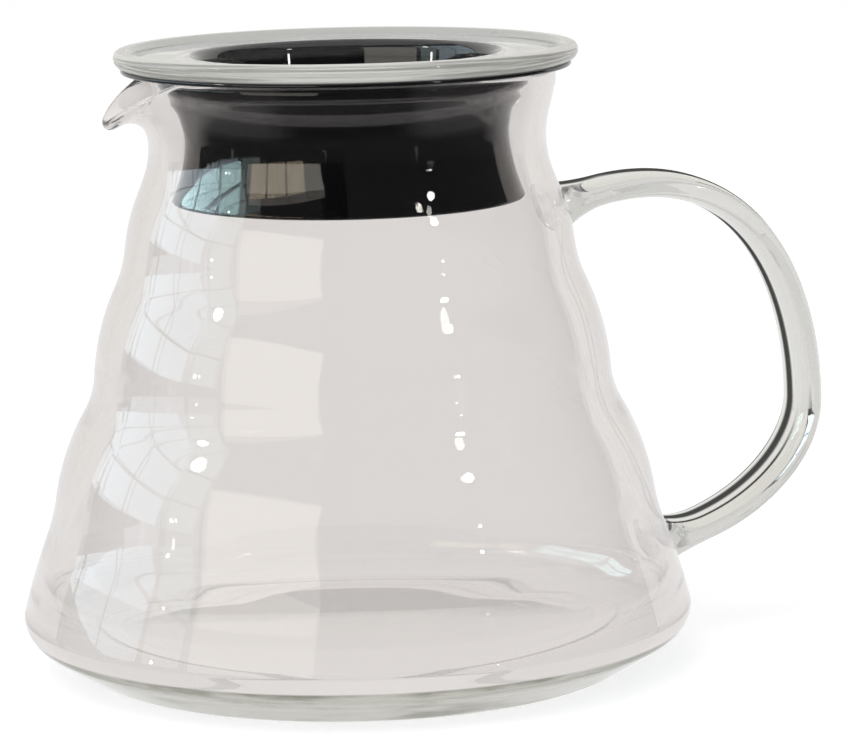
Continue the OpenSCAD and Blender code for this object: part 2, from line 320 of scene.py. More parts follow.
@dataclass(frozen=True)
class Graph:
    """The nodes of one material, group or world, with short ways to add to them."""

    tree: bpy.types.NodeTree

    def feed(self, node: Node, inputs: dict[str | int, Value]) -> None:
        """Gives inputs of a node their values: a socket is linked, a number or tuple is set.

        Args:
            node: The node.
            inputs: Values by name or number of the input; a colour gets its full alpha here.
        """
        for key, value in inputs.items():
            target = node.inputs[key]
            if isinstance(value, Socket):
                self.tree.links.new(value, target)
            else:
                target.default_value = (*value, 1.0) if target.type == "RGBA" else value

    def add(self, kind: str, inputs: dict[str | int, Value] | None = None, operation: str = "") -> Node:
        """Adds a node.

        Args:
            kind: Node type without its ShaderNode prefix.
            inputs: Values of its inputs, as for feed.
            operation: Operation of a math node.

        Returns:
            The new node.
        """
        node = self.tree.nodes.new("ShaderNode" + kind)
        if operation:
            node.operation = operation
        self.feed(node, inputs or {})
        return node

    def calc(self, operation: str, *values: Value) -> Socket:
        """The result of a Math node over the values."""
        return self.add("Math", dict(enumerate(values)), operation).outputs[0]

    def vector(self, operation: str, *values: Value) -> Socket:
        """The result of a Vector Math node over the values: a number for a length or a dot product."""
        node = self.add("VectorMath", dict(enumerate(values)), operation)
        return node.outputs["Value" if operation in ("LENGTH", "DOT_PRODUCT") else "Vector"]

    def times(self, first: Socket, second: Socket) -> Socket:
        """The product of two masks."""
        return self.calc("MULTIPLY", first, second)

    def step(self, value: Socket, low: float, high: float) -> Socket:
        """A smooth step.

        Args:
            value: Socket with the value.
            low: Where the step is 0; it may be the larger one.
            high: Where the step is 1.

        Returns:
            The socket with the step.
        """
        node = self.add("MapRange", {
            "Value": value, "From Min": min(low, high), "From Max": max(low, high),
            "To Min": float(low > high), "To Max": float(low < high)})
        node.interpolation_type = "SMOOTHSTEP"
        return node.outputs["Result"]

    def hump(self, value: Socket, limits: Four) -> Socket:
        """A smooth step up over the first two limits, in mm, times one down over the last two."""
        start, full, last, end = (limit * MM for limit in limits)
        return self.times(self.step(value, start, full), self.step(value, end, last))

    def between(self, depth: Socket, low: int, high: int) -> Socket:
        """1 where a whole number lies between two limits, both taken in, and 0 elsewhere."""
        return self.calc("COMPARE", depth, (low + high) / 2, (high - low) / 2 + 0.5)

    def scaled(self, share: Socket, low: float, high: float) -> Socket:
        """A number that runs from low to high while the share runs from 0 to 1."""
        return self.add("MapRange", {"Value": share, "To Min": low, "To Max": high}).outputs["Result"]

    def noise(self, place: Socket, scale: Value, detail: float, roughness: float = 0.5,
              distortion: float = 0.0) -> Socket:
        """The factor of a Noise Texture over a place."""
        return self.add("TexNoise", {"Vector": place, "Scale": scale, "Detail": detail,
                                     "Roughness": roughness, "Distortion": distortion}).outputs["Fac"]

    def blend(self, share: Socket, low: Value, high: Value) -> Socket:
        """The colour that runs from low to high while the share runs from 0 to 1."""
        node = self.add("Mix")
        node.data_type = "RGBA"
        self.feed(node, {"Factor": share, "A": low, "B": high})
        return node.outputs["Result"]

    def ramp(self, value: Socket, steps: tuple[Pair, ...]) -> Socket:
        """A grey ramp.

        Args:
            value: Socket with the value.
            steps: Place and level of each mark.

        Returns:
            The socket with the grey.
        """
        node = self.add("ValToRGB", {"Fac": value})
        marks = node.color_ramp.elements
        marks[0].position, marks[1].position = steps[0][0], steps[-1][0]
        for place, _ in steps[1:-1]:
            marks.new(place)
        for mark, (_, level) in zip(marks, steps):
            mark.color = (level, level, level, 1.0)
        return node.outputs["Color"]

    def glow(self, colour: Value, strength: Value = 1.0) -> Socket:
        """A glowing shader."""
        return self.add("Emission", {"Color": colour, "Strength": strength}).outputs["Emission"]

    def cover(self, share: Socket, below: Socket, above: Socket) -> Socket:
        """The shader that goes over from the one below to the one above while the share runs from 0 to 1."""
        return self.add("MixShader", {"Fac": share, 1: below, 2: above}).outputs["Shader"]


def hand_worked() -> bpy.types.NodeTree:
    """The shared group for the wander of formed surfaces, made once.

    Slow noise, stretched round the axis, gives the height of drawn waves. A finer noise, raised to a
    soft threshold, gives a mask of wiping marks, and a middle one gives pale streaks in the melt.

    Returns:
        The group, with outputs Height, Marks and Streaks.
    """
    name = "hand_worked"
    if name in bpy.data.node_groups:
        return bpy.data.node_groups[name]
    group = bpy.data.node_groups.new(name, "ShaderNodeTree")
    group.interface.new_socket(name="Vector", in_out="INPUT", socket_type="NodeSocketVector")
    for number in ("Wave Scale", "Mark Scale", "Mark Level"):
        group.interface.new_socket(name=number, in_out="INPUT", socket_type="NodeSocketFloat")
    for number in ("Height", "Marks", "Streaks"):
        group.interface.new_socket(name=number, in_out="OUTPUT", socket_type="NodeSocketFloat")
    graph = Graph(group)
    given = group.nodes.new("NodeGroupInput").outputs
    stretched = graph.add("Mapping", {"Vector": given["Vector"], "Scale": (1.0, 1.0, 2.6)}).outputs["Vector"]
    mark = graph.noise(given["Vector"], given["Mark Scale"], detail=4.0, roughness=0.62)
    kept = graph.add("MapRange", {"Value": mark, "From Min": given["Mark Level"], "From Max": 0.85})
    kept.interpolation_type = "SMOOTHSTEP"
    graph.feed(group.nodes.new("NodeGroupOutput"), {
        "Height": graph.noise(stretched, given["Wave Scale"], detail=1.0),
        "Marks": kept.outputs["Result"],
        "Streaks": graph.noise(stretched, scale=14.0, detail=2.0, distortion=0.6)})
    return group


def new_material(name: str, surface: Callable[[Graph], Socket]) -> bpy.types.Material:
    """Makes a material.

    Args:
        name: Name of the material.
        surface: Adds the shader's nodes to the material's empty graph.

    Returns:
        The material, with the shader on its output.
    """
    material = bpy.data.materials.new(name)
    material.use_nodes = True
    material.node_tree.nodes.clear()
    graph = Graph(material.node_tree)
    graph.add("OutputMaterial", {"Surface": surface(graph)})
    return material


@dataclass(frozen=True)
class Worked:
    """How a hand-formed or moulded surface wanders, for the shared group; the wave height is in metres."""

    wave_scale: float
    wave_height: float
    mark_scale: float
    mark_level: float
    mark_rough: float
    rough: float = 0.0

    def feed(self, graph: Graph, shader: Node, plain: Colour, streaked: Colour) -> Socket:
        """Joins the shared group to a Principled shader.

        Roughness runs from rough to mark_rough by the marks, and the height goes through a Bump node.

        Args:
            graph: Graph of the material.
            shader: The Principled BSDF.
            plain: Colour where there are no streaks.
            streaked: Colour in the streaks.

        Returns:
            The colour between plain and streaked, for the material to use.
        """
        group = graph.add("Group")
        group.node_tree = hand_worked()
        graph.feed(group, {"Vector": graph.add("TexCoord").outputs["Object"], "Wave Scale": self.wave_scale,
                           "Mark Scale": self.mark_scale, "Mark Level": self.mark_level})
        bump = graph.add("Bump", {
            "Strength": 1.0, "Distance": self.wave_height, "Height": group.outputs["Height"]})
        graph.feed(shader, {"Normal": bump.outputs["Normal"],
                            "Roughness": graph.scaled(group.outputs["Marks"], self.rough, self.mark_rough)})
        return graph.blend(group.outputs["Streaks"], plain, streaked)


@dataclass(frozen=True)
class PaintedBand:
    """A turned band of paint over the glass between two radii, [start, full, full, end] in mm.

    It is painted shade where its colour is dark and painted light where it is pale, standing in for what
    the clear glass shows there. A path that meets the band from inside the glass gets the inner strength
    and colour instead.
    """

    radii: Four
    strength: float
    colour: Colour
    inner_strength: float = 0.0
    inner_colour: Colour = (0.0, 0.0, 0.0)
    gloss: float = 0.0
    gloss_rough: float = 0.02

    def over(self, graph: Graph, below: Socket) -> Socket:
        """Mixes the painted matt or glossy shader over the glass by strength times a hump over the radius.

        Args:
            graph: Graph of the material.
            below: Shader socket of what lies under the band.

        Returns:
            The mixed shader's socket.
        """
        flat = graph.vector("MULTIPLY", graph.add("TexCoord").outputs["Object"], (1.0, 1.0, 0.0))
        ring = graph.hump(graph.vector("LENGTH", flat), self.radii)
        inside = graph.add("NewGeometry").outputs["Backfacing"]
        share = graph.times(ring, graph.scaled(inside, self.strength, self.inner_strength))
        tone = graph.blend(inside, self.colour, self.inner_colour)
        if self.gloss:
            paint = graph.add("BsdfPrincipled", {
                "Base Color": tone, "Specular IOR Level": self.gloss, "Roughness": self.gloss_rough})
        else:
            paint = graph.add("BsdfDiffuse", {"Color": tone})
        return graph.cover(share, below, paint.outputs["BSDF"])


@dataclass(frozen=True)
class PaintedFootShade:
    """Painted shade on the thick foot: below a height the glass is greener and darker, standing in for light
    bent and reflected inside the thick glass, in flat dark streaks that stand in for caustics, and darkest
    where it turns away, a painted dark edge.

    Heights are in mm. The streaks' scales are [level, upright], their contrast and the turn's facing
    values are [0 at, 1 at], and the dark line fades in between two depths under the top.
    """

    top: float
    fade: float
    pale: Colour
    dark: Colour
    streaks: Pair
    contrast: Pair = (0.42, 0.68)
    turn: Pair = (0.5, 0.8)
    line_depths: Pair = (3.0, 1.0)

    def over(self, graph: Graph, colour: Socket) -> Socket:
        """Lays the foot's painted shade over the glass's colour.

        The streaks are noise that is stretched level, or, where that is larger, a smooth step of the
        Layer Weight's facing value, which only counts near the top of the foot.

        Args:
            graph: Graph of the material.
            colour: Colour of the glass above the foot.

        Returns:
            The colour for the whole height.
        """
        place = graph.add("TexCoord").outputs["Object"]
        scale = (self.streaks[0], self.streaks[0], self.streaks[1])
        level = graph.add("Mapping", {"Vector": place, "Scale": scale}).outputs["Vector"]
        streaks = graph.step(graph.noise(level, scale=1.0, detail=3.0), *self.contrast)
        height = graph.add("SeparateXYZ", {"Vector": place}).outputs["Z"]
        turned_away = graph.step(graph.add("LayerWeight").outputs["Facing"], *self.turn)
        near_top = graph.step(height, *((self.top - depth) * MM for depth in self.line_depths))
        amount = graph.calc("MAXIMUM", streaks, graph.times(turned_away, near_top))
        # The painted shade's colour, from the pale to the dark one.
        melt = graph.blend(amount, self.pale, self.dark)
        edge = graph.step(height, (self.top + self.fade) * MM, (self.top - self.fade) * MM)
        return graph.blend(edge, colour, melt)


@dataclass(frozen=True)
class PaintedStrapReflections:
    """Painted dark reflections in the bent strap, seen by the camera only: they stand in for the dark room
    that the solid glass reflects inside itself.

    One runs along the middle of the strap's inner side, a thin one beside it on the lowest run, and one
    along the far edge of the upper run. Lengths are in mm. The middle is [full to, gone at] by the
    distance from the loop's plane, and the other pairs are [0 at, 1 at].
    """

    centre: Place
    middle: Pair
    beside: Four
    lower_run: Pair
    edge: Pair
    upper_run: Pair
    strength: float
    colour: Colour
    inner_side: Pair = (0.5, 0.8)
    lowest_run: Pair = (46.0, 34.0)
    upward: Pair = (0.3, 0.6)

    def over(self, graph: Graph, below: Socket) -> Socket:
        """Mixes a dark matt shader, the painted reflections, over the glass along the lines.

        The inner side is where the normal points to the loop's centre, and distances beside the middle
        are taken from the loop's plane. The edge line lies where the Layer Weight's facing value passes
        the edge's values and the normal points up.

        Args:
            graph: Graph of the material.
            below: Shader socket of what lies under the lines.

        Returns:
            The mixed shader's socket.
        """
        place = graph.add("TexCoord").outputs
        inward = graph.vector("SUBTRACT", tuple(c * MM for c in self.centre), place["Object"])
        inward = graph.vector("NORMALIZE", graph.vector("MULTIPLY", inward, (1.0, 0.0, 1.0)))
        inner = graph.step(graph.vector("DOT_PRODUCT", inward, place["Normal"]), *self.inner_side)
        where = graph.add("SeparateXYZ", {"Vector": place["Object"]}).outputs
        up = graph.add("SeparateXYZ", {"Vector": place["Normal"]}).outputs["Z"]
        aside = graph.calc("ABSOLUTE", where["Y"])
        high, low, lowest = (graph.step(where["Z"], *(z * MM for z in run))
                             for run in (self.upper_run, self.lower_run, self.lowest_run))
        near, off = (distance * MM for distance in self.middle)
        middle = graph.times(graph.times(inner, graph.step(aside, off, near)), low)
        thin = graph.times(graph.times(graph.hump(aside, self.beside), inner), lowest)
        facing = graph.step(graph.add("LayerWeight").outputs["Facing"], *self.edge)
        edge = graph.times(facing, graph.times(graph.step(up, *self.upward), high))
        most = graph.calc("MAXIMUM", graph.calc("MAXIMUM", middle, thin), edge)
        line = graph.scaled(most, 0.0, self.strength)
        seen = graph.add("LightPath").outputs["Is Camera Ray"]
        paint = graph.add("BsdfDiffuse", {"Color": self.colour})
        return graph.cover(graph.times(line, seen), below, paint.outputs["BSDF"])


@dataclass(frozen=True)
class ClearGlass:
    """Clear glass: a sharp refracting shader whose shadows let the light through.

    The melt's colour counts once, on the first face that the camera sees, so thick places and edges
    stay as clear as the walls. A path that has been reflected often enough passes straight on.
    """

    slot: str
    tint: Colour
    streak_tint: Colour
    ior: float
    shadow: float
    worked: Worked
    bands: tuple[PaintedBand | PaintedStrapReflections, ...] = ()
    foot: PaintedFootShade | None = None
    most_reflections: int = 3

    def surface(self, graph: Graph) -> Socket:
        """Builds the shader: Principled glass, and Transparent BSDF for shadow rays and long paths.

        Args:
            graph: Graph of the material.

        Returns:
            The shader's socket.
        """
        path = graph.add("LightPath").outputs
        shader = graph.add("BsdfPrincipled", {"IOR": self.ior, "Transmission Weight": 1.0, "Metallic": 0.0})
        melt = self.worked.feed(graph, shader, self.tint, self.streak_tint)
        if self.foot:
            # Over the foot the colour gets the painted shade.
            melt = self.foot.over(graph, melt)
        graph.feed(shader, {"Base Color": graph.blend(path["Is Camera Ray"], WHITE, melt)})
        glass = shader.outputs["BSDF"]
        for band in self.bands:
            glass = band.over(graph, glass)
        deep = graph.calc("GREATER_THAN", path["Glossy Depth"], self.most_reflections - 0.5)
        clear = graph.add("BsdfTransparent", {"Color": (self.shadow,) * 3}).outputs["BSDF"]
        return graph.cover(graph.calc("MAXIMUM", deep, path["Is Shadow Ray"]), glass, clear)


@dataclass(frozen=True)
class GlossPlastic:
    """Polished moulded plastic."""

    slot: str
    colour: Colour
    pale: Colour
    ior: float
    gloss: float
    worked: Worked

    def surface(self, graph: Graph) -> Socket:
        """Builds the shader: one Principled BSDF fed by the shared group.

        Args:
            graph: Graph of the material.

        Returns:
            The shader's socket.
        """
        shader = graph.add("BsdfPrincipled", {
            "IOR": self.ior, "Specular IOR Level": self.gloss, "Metallic": 0.0})
        graph.feed(shader, {"Base Color": self.worked.feed(graph, shader, self.colour, self.pale)})
        return shader.outputs["BSDF"]


BLOWN = ClearGlass(
    "blown_glass", tint=(0.65, 0.592, 0.56), streak_tint=(0.62, 0.565, 0.535), ior=1.47, shadow=0.93,
    worked=Worked(wave_scale=26.0, wave_height=0.00022, mark_scale=90.0, mark_level=0.62, mark_rough=0.012),
    # The foot gets painted shade: greener and darker, in dark streaks and a dark line under its top.
    foot=PaintedFootShade(
        top=7.9, fade=0.25, pale=(0.31, 0.3, 0.25), dark=(0.07, 0.07, 0.045), streaks=(60.0, 420.0)))
DRAWN = ClearGlass(
    "handle_glass", tint=(0.66, 0.65, 0.6), streak_tint=(0.56, 0.55, 0.5), ior=1.47, shadow=0.9,
    worked=Worked(wave_scale=60.0, wave_height=0.0003, mark_scale=120.0, mark_level=0.6, mark_rough=0.014),
    # The strap gets painted dark reflections along its inner side and its upper edge.
    bands=(PaintedStrapReflections(
        centre=(66.0, 0.0, 56.0), middle=(1.0, 2.5), beside=(3.7, 4.1, 4.5, 4.9), lower_run=(88.0, 82.0),
        edge=(0.79, 0.85), upper_run=(80.0, 85.0), strength=0.92, colour=(0.002, 0.002, 0.002)),))
PRESSED = ClearGlass(
    "pressed_glass", tint=(0.66, 0.66, 0.6), streak_tint=(0.56, 0.57, 0.51), ior=1.5, shadow=0.9,
    worked=Worked(wave_scale=42.0, wave_height=0.0002, mark_scale=110.0, mark_level=0.6, mark_rough=0.014),
    bands=(
        # Painted shade: the ring over the well is painted glossy black, standing in for the black sleeve seen
        # through the clear glass.
        PaintedBand(radii=(27.6, 28.2, 29.7, 30.3), strength=0.96, colour=(0.006, 0.006, 0.007), gloss=0.6),
        # Painted light: the rim's edge is painted pale for the light that passes through the thick edge, and
        # paths from inside the glass see it painted dark, as shade.
        PaintedBand(radii=(40.5, 43.5, 99.0, 100.0), strength=0.47, colour=(0.78, 0.77, 0.72), inner_strength=0.35,
             inner_colour=(0.03, 0.032, 0.03))))
BLACK = GlossPlastic(
    "black_plastic", colour=(0.002, 0.002, 0.0022), pale=(0.005, 0.005, 0.0055), ior=1.5, gloss=0.7,
    worked=Worked(wave_scale=34.0, wave_height=0.00012, mark_scale=160.0, mark_level=0.58, rough=0.045,
                  mark_rough=0.13))


# The object


@dataclass
class Jug:
    """The blown jug: foot, waved wall, neck, lip and spout as one sheet of glass.

    The punt is the hollow under the floor, the swells are heights of arcs over their chords, and the
    lowest still_rows of the inside's waves keep clear of the spout. Angles are in degrees.
    """

    bowl_r: float = 65.0
    bowl_z: float = 11.0
    wall: float = 2.2
    foot_r: float = 52.6
    foot_w: float = 5.2
    foot_round: float = 1.6
    punt_h: float = 1.4
    punt_gap: float = 2.4
    punt_round: float = 12.8
    floor_z: float = 4.6
    heel_r: float = 6.0
    inner_heel_r: float = 10.0
    groove_soft: float = 7.2
    rim_r: float = 40.2
    rim_z: float = 115.6
    lip_h: float = 4.4
    waist_draw: float = 2.4
    swells: tuple[float, ...] = (0.4, 1.7, 1.7, 0.7)
    spout_reach: float = 5.6
    spout_drop: float = 8.6
    spout_curl: float = 3.6
    spout_h: float = 18.8
    spout_half_angle: float = 28.0
    groove_heights: tuple[float, ...] = (0.19, 0.424, 0.669, 0.813)
    groove_insets: tuple[float, ...] = (0.256, 0.595, 0.857, 0.98)
    step: float = 0.9
    sectors: int = 256
    rows: int = 22
    still_rows: int = 30
    punt_steps: int = 6
    foot_steps: int = 8
    round_steps: int = 12
    finish: ClearGlass = BLOWN
    waves: Array = field(init=False)

    def __post_init__(self) -> None:
        """Works out the waved outer line once, because the handle needs it too."""
        self.waves = self.wave_line()

    @property
    def grooves(self) -> Array:
        """The grooves, [radius, height]: the widest ring plus their shares of the way from it to the lip."""
        way = np.array([self.rim_r - self.bowl_r, self.rim_z - self.lip_h - self.bowl_z])
        shares = np.stack([self.groove_insets, self.groove_heights], axis=1)
        return np.array([self.bowl_r, self.bowl_z]) + way * shares

    def wave_line(self) -> Array:
        """The outer line from the widest ring to the lip: four swelling arcs, a hollow neck, an upright lip.

        Returns:
            Points [radius, height], rounded at the grooves.
        """
        lip = np.array([self.rim_r, self.rim_z - self.lip_h])
        edge = np.array([self.rim_r, self.rim_z - self.wall / 2])
        stops = [np.array([self.bowl_r, self.bowl_z]), *self.grooves, lip, edge]
        line = arcs(stops, (*self.swells, -self.waist_draw, 0.0), self.step)
        return even(soften(line, self.groove_soft, self.step), self.step)

    def radius_at(self, height: Array) -> Array:
        """Outer radius of the wall at a height, read from the waved line."""
        return np.interp(height, self.waves[:, 1], self.waves[:, 0])

    def underside(self) -> Array:
        """The line from the middle of the underside to the widest ring.

        A shallow dome's arc, the flat foot ring with rounded edges, a cone and the arc of the heel that
        the cone touches. The dome's radius is (inner radius^2 + height^2) / (2 height).

        Returns:
            Points [radius, height], the axis left out.
        """
        inner = self.foot_r - self.foot_w
        dome = (inner**2 + self.punt_h**2) / (2 * self.punt_h)
        radius = np.linspace(POLE_R, inner - self.punt_gap, self.rows)
        punt = np.stack([radius, self.punt_h - dome + np.sqrt(dome**2 - radius**2)], axis=1)
        centre = np.array([self.bowl_r - self.heel_r, self.bowl_z])
        span = centre - np.array([self.foot_r, 0.0])
        lift = math.atan2(span[1], span[0]) - math.asin(self.heel_r / np.linalg.norm(span))
        turn = (lift - np.pi / 2) * (1 - np.arange(self.round_steps) / self.round_steps)
        heel = centre + self.heel_r * circle(turn)
        foot = np.vstack([
            corner(punt[-1], (inner, 0.0), (self.foot_r, 0.0), self.punt_round, self.punt_steps),
            corner((inner, 0.0), (self.foot_r, 0.0), heel[0], self.foot_round, self.foot_steps)])
        return np.vstack([punt, even(np.vstack([foot, heel]), self.step)])

    def inner_line(self) -> Array:
        """The inner line from the floor's edge up: the heel's arc, then the waves set in by one wall.

        Returns:
            Points [radius, height]; its last rows match the last rows of the waved line one to one.
        """
        low = self.grooves[0]
        lean = math.atan((self.bowl_r - low[0]) / (low[1] - self.bowl_z))
        top = self.bowl_r - self.wall / math.cos(lean)
        centre_z = self.floor_z + self.inner_heel_r
        centre = np.array([
            top - (centre_z - self.bowl_z) * math.tan(lean) - self.inner_heel_r / math.cos(lean), centre_z])
        turn = -np.pi / 2 + (np.pi / 2 + lean) * np.linspace(0, 1, self.rows)
        heel = centre + self.inner_heel_r * circle(turn)
        wave = self.waves - side_normals(self.waves) * self.wall
        wave = wave[wave[:, 1] > heel[-1, 1] + self.step / 2]
        return soften(np.vstack([heel, wave]), self.groove_soft, self.step)

    def drawn_out(self, grid: Array) -> Array:
        """Draws the spout out of the neck.

        With turn the angle from the -X side and rise the share of the spout's height, each point moves
        outwards by reach and down by drop, times cos(90 turn / half angle)^2 times rise^curl.

        Args:
            grid: Points of the wall's outside, rows by sectors by 3.

        Returns:
            The moved points.
        """
        angle = np.arctan2(grid[..., 1], -grid[..., 0])
        near = np.clip(np.abs(angle) / math.radians(self.spout_half_angle), 0.0, 1.0)
        rise = np.clip(1 + (grid[..., 2] - (self.rim_z - self.wall / 2)) / self.spout_h, 0.0, 1.0)
        pull = np.cos(near * np.pi / 2) ** 2 * rise**self.spout_curl
        radius = np.hypot(grid[..., 0], grid[..., 1])
        moved = grid.copy()
        moved[..., :2] *= (1 + self.spout_reach * pull / radius)[..., None]
        moved[..., 2] -= self.spout_drop * pull
        return moved

    def build(self) -> Object:
        """One closed sheet: underside, outside, lip, inside and floor.

        The inside lies one wall's thickness behind the drawn-out outside along its normals, and the lip
        is a half circle from one to the other.

        Returns:
            The finished piece.
        """
        plain = turned(self.waves, self.sectors)
        outside = self.drawn_out(plain)
        normal, plain_normal = grid_normals(outside), grid_normals(plain)
        ahead = outside[-1] - outside[-2]
        ahead = unit(ahead - normal[-1] * np.sum(ahead * normal[-1], axis=1, keepdims=True))
        lip = half_round(outside[-1], normal[-1], ahead, self.wall, self.round_steps)
        inner = self.inner_line()
        inside = turned(inner, self.sectors)
        shift = (outside - normal * self.wall) - (plain - plain_normal * self.wall)
        count = min(len(inner), len(self.waves)) - self.still_rows
        inside[-count:] += shift[-count:]
        radius = np.linspace(inner[0, 0], POLE_R, self.rows)[1:]
        floor = turned(np.stack([radius, np.full(len(radius), self.floor_z)], axis=1), self.sectors)
        below = turned(self.underside(), self.sectors)
        grid = np.concatenate([below, outside, lip, inside[::-1], floor])
        poles = (np.array([0, 0, self.punt_h]), np.array([0, 0, self.floor_z]))
        return grid_object("blown_jug", grid, poles)


@dataclass
class Handle:
    """The strap handle: a flattened glass rod along two curves, melted on to the wall at both ends.

    The pulls are shares of the way between the curves' ends, the slopes are those of the roots in
    degrees, and strap_square is the power that squares the oval.
    """

    jug: Jug
    grip_r: float = 91.9
    grip_z: float = 46.6
    upper_root_z: float = 87.2
    lower_root_z: float = 19.7
    strap_w: float = 14.0
    strap_t: float = 5.3
    weld_w: float = 16.0
    weld_t: float = 9.0
    weld_l: float = 7.0
    pulls: tuple[float, ...] = (0.786, 0.608, 0.424, 0.584)
    slopes: Pair = (20.3, 8.8)
    strap_square: float = 0.7
    sink: float = 0.25
    root_step: float = 0.01
    samples: int = 200
    rows: int = 170
    sides: int = 48
    finish: ClearGlass = DRAWN

    def middle_line(self) -> Array:
        """The middle line: two cubic curves, upper root to grip and grip to lower root.

        Returns:
            Points [radius, height], evenly spaced.
        """
        top, low = (np.array([float(self.jug.radius_at(z)) - self.jug.wall / 2, z])
                    for z in (self.upper_root_z, self.lower_root_z))
        grip = np.array([self.grip_r, self.grip_z])
        up, down = (math.radians(a) for a in self.slopes)
        upper = [top, top + np.array([math.cos(up), math.sin(up)]) * self.pulls[0] * (self.grip_r - top[0]),
                 grip + np.array([0, self.pulls[1] * (self.upper_root_z - self.grip_z)]), grip]
        lower = [grip, grip - np.array([0, self.pulls[2] * (self.grip_z - self.lower_root_z)]),
                 low + np.array([math.cos(down), math.sin(down)]) * self.pulls[3] * (self.grip_r - low[0]),
                 low]
        t = np.linspace(0, 1, self.samples)[:, None]
        weights = [(1 - t) ** 3, 3 * t * (1 - t) ** 2, 3 * t**2 * (1 - t), t**3]
        curves = [sum(w * p for w, p in zip(weights, points)) for points in (upper, lower)]
        line = np.vstack([curves[0][:-1], curves[1]])
        return even(line, np.sum(np.linalg.norm(np.diff(line, axis=0), axis=1)) / (self.rows - 1))

    def build(self) -> Object:
        """Carries a squared oval along the middle line.

        Its half width and half thickness grow by (1 - distance to the root / weld length)^2 towards the
        weld's. No point goes deeper into the wall than sink, and there each row keeps root_step beyond
        the one before it.

        Returns:
            The finished piece.
        """
        line = self.middle_line()
        near = np.minimum(np.linalg.norm(line - line[0], axis=1), np.linalg.norm(line - line[-1], axis=1))
        melt = np.clip(1 - near / (self.weld_l + self.jug.wall), 0, None)[:, None] ** 2
        half_w = (self.strap_w + (self.weld_w - self.strap_w) * melt) / 2
        half_t = (self.strap_t + (self.weld_t - self.strap_t) * melt) / 2
        normal = side_normals(line)
        turn = 2 * np.pi * (np.arange(self.sides) + 0.5) / self.sides
        out, wide = (np.sign(wave) * np.abs(wave) ** self.strap_square * half
                     for wave, half in ((np.cos(turn), half_t), (np.sin(turn), half_w)))
        grid = np.stack([line[:, :1] - normal[:, :1] * out, wide, line[:, 1:] - normal[:, 1:] * out], axis=2)
        wall_x = np.sqrt(np.clip(self.jug.radius_at(grid[..., 2]) ** 2 - grid[..., 1] ** 2, 0, None))
        order = np.minimum(np.arange(len(line)), np.arange(len(line))[::-1])[:, None]
        grid[..., 0] = np.maximum(grid[..., 0], wall_x - self.sink + self.root_step * order)
        poles = (grid[-1].mean(axis=0), grid[0].mean(axis=0))
        return grid_object("strap_handle", grid[::-1], poles)


